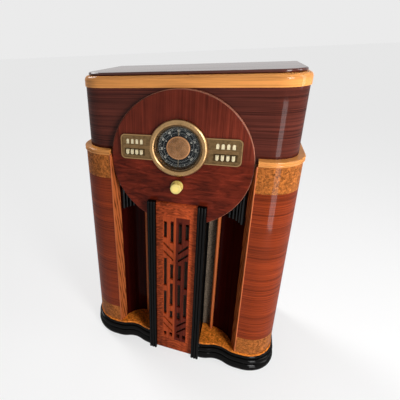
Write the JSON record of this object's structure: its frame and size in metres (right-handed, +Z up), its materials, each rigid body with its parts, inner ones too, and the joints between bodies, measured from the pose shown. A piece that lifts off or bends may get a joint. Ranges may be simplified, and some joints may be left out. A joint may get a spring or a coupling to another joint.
{
  "type": "console radio",
  "caption": "Floor-standing console radio with rounded columns, round control panel with dial and push-buttons, fretted centre column and open back.",
  "frame": {"origin": "on the floor under the middle of the bounding box", "axes": "+X to the right seen from the front, +Y to the back, +Z up; the dial faces -Y"},
  "size_m": [0.728, 0.402, 1.06],
  "materials": {
    "walnut_dark": "deep gloss lacquer, horizontal grain",
    "niche_lacquer": "gloss lacquer",
    "striped_walnut": "gloss lacquer, striped horizontal grain",
    "burl_veneer": "gloss lacquer over mottled burl",
    "light_wood": "gloss lacquer over pale wood",
    "zebra_inlay": "gloss lacquer, banded light and dark",
    "ebonised_wood": "piano-black gloss lacquer",
    "panel_walnut": "gloss lacquer, vertical grain",
    "fret_veneer": "gloss lacquer, book-matched",
    "grille_fabric": "woven, matt",
    "bare_wood": "plain unfinished board",
    "bronze": "satin antique bronze",
    "dial_glass": "clear convex glass",
    "dial_black": "satin black with printed scale",
    "copper": "satin copper bronze",
    "pointer_paint": "satin enamel",
    "tab_card": "cream card",
    "ivory_plastic": "moulded, polished",
    "shaft_steel": "turned",
    "plate_aluminium": "rolled sheet",
    "frame_metal": "plated, dull",
    "chassis_metal": "dull plated steel",
    "tube_glass": "clear, getter-flashed",
    "black_bakelite": "moulded",
    "transformer_black": "black enamel",
    "speaker_paper": "felted, matt",
    "coil_wrap": "brown enamel"
  },
  "bodies": {
    "cabinet": {"top_board": "walnut_dark", "top_edge_band": "light_wood", "upper_front_panel": "walnut_dark", "upper_left_side": "walnut_dark", "upper_right_side": "walnut_dark", "left_column_shaft": "striped_walnut", "right_column_shaft": "striped_walnut", "column_top_bands": "burl_veneer", "column_foot_bands": "burl_veneer", "left_side_panel": "striped_walnut", "right_side_panel": "striped_walnut", "column_caps": "light_wood", "column_beads": "light_wood", "inlay_strips": "zebra_inlay", "left_niche_wall": "niche_lacquer", "right_niche_wall": "niche_lacquer", "niche_posts": "light_wood", "left_valance": "ebonised_wood", "right_valance": "ebonised_wood", "base_board": "burl_veneer", "left_plinth": "ebonised_wood", "right_plinth": "ebonised_wood", "rear_rails": "bare_wood", "grille_cloth": "grille_fabric", "control_disc": "panel_walnut", "fret_panel": "fret_veneer", "left_stile": "ebonised_wood", "right_stile": "ebonised_wood", "speaker_baffle": "bare_wood", "chassis_shelf": "bare_wood", "dial_bezel": "bronze", "dial_glass": "dial_glass", "dial_face": "dial_black", "left_button_plate": "bronze", "right_button_plate": "bronze", "station_tabs": "tab_card", "condenser_frame": "frame_metal", "chassis": "chassis_metal", "tubes": "tube_glass", "tube_bases": "black_bakelite", "power_transformer": "transformer_black", "shield_cans": "plate_aluminium", "speaker_basket": "transformer_black", "speaker_cone": "speaker_paper", "field_coil": "coil_wrap", "fasteners": "shaft_steel"},
    "tuning": {"tuning_knob": "ivory_plastic", "tuning_shaft": "shaft_steel"},
    "dial": {"pointer": "pointer_paint", "dial_hub": "copper", "drive_disc": "shaft_steel", "condenser_rotor": "plate_aluminium"},
    "left_button_1": {"left_button_1": "ivory_plastic"},
    "left_button_2": {"left_button_2": "ivory_plastic"},
    "left_button_3": {"left_button_3": "ivory_plastic"},
    "left_button_4": {"left_button_4": "ivory_plastic"},
    "right_button_1": {"right_button_1": "ivory_plastic"},
    "right_button_2": {"right_button_2": "ivory_plastic"},
    "right_button_3": {"right_button_3": "ivory_plastic"},
    "right_button_4": {"right_button_4": "ivory_plastic"}
  },
  "joints": [
    {"name": "dial_turn", "type": "hinge", "parent": "cabinet", "child": "dial", "pos_m": [0, -0.131, 0.842], "axis": [0, 1, 0], "range_deg": [-90, 90]},
    {"name": "knob_turn", "type": "hinge", "parent": "cabinet", "child": "tuning", "pos_m": [0, -0.171, 0.719], "axis": [0, 1, 0], "range_deg": [-786, 786]},
    {"name": "left_button_1_press", "type": "slide", "parent": "cabinet", "child": "left_button_1", "axis": [0, 1, 0], "range_m": [0, 0.005], "stiffness_N_per_m": 250},
    {"name": "left_button_2_press", "type": "slide", "parent": "cabinet", "child": "left_button_2", "axis": [0, 1, 0], "range_m": [0, 0.005], "stiffness_N_per_m": 250},
    {"name": "left_button_3_press", "type": "slide", "parent": "cabinet", "child": "left_button_3", "axis": [0, 1, 0], "range_m": [0, 0.005], "stiffness_N_per_m": 250},
    {"name": "left_button_4_press", "type": "slide", "parent": "cabinet", "child": "left_button_4", "axis": [0, 1, 0], "range_m": [0, 0.005], "stiffness_N_per_m": 250},
    {"name": "right_button_1_press", "type": "slide", "parent": "cabinet", "child": "right_button_1", "axis": [0, 1, 0], "range_m": [0, 0.005], "stiffness_N_per_m": 250},
    {"name": "right_button_2_press", "type": "slide", "parent": "cabinet", "child": "right_button_2", "axis": [0, 1, 0], "range_m": [0, 0.005], "stiffness_N_per_m": 250},
    {"name": "right_button_3_press", "type": "slide", "parent": "cabinet", "child": "right_button_3", "axis": [0, 1, 0], "range_m": [0, 0.005], "stiffness_N_per_m": 250},
    {"name": "right_button_4_press", "type": "slide", "parent": "cabinet", "child": "right_button_4", "axis": [0, 1, 0], "range_m": [0, 0.005], "stiffness_N_per_m": 250}
  ],
  "couplings": [
    {"joint": "knob_turn", "follows": "dial_turn", "ratio": -8.7302}
  ]
}
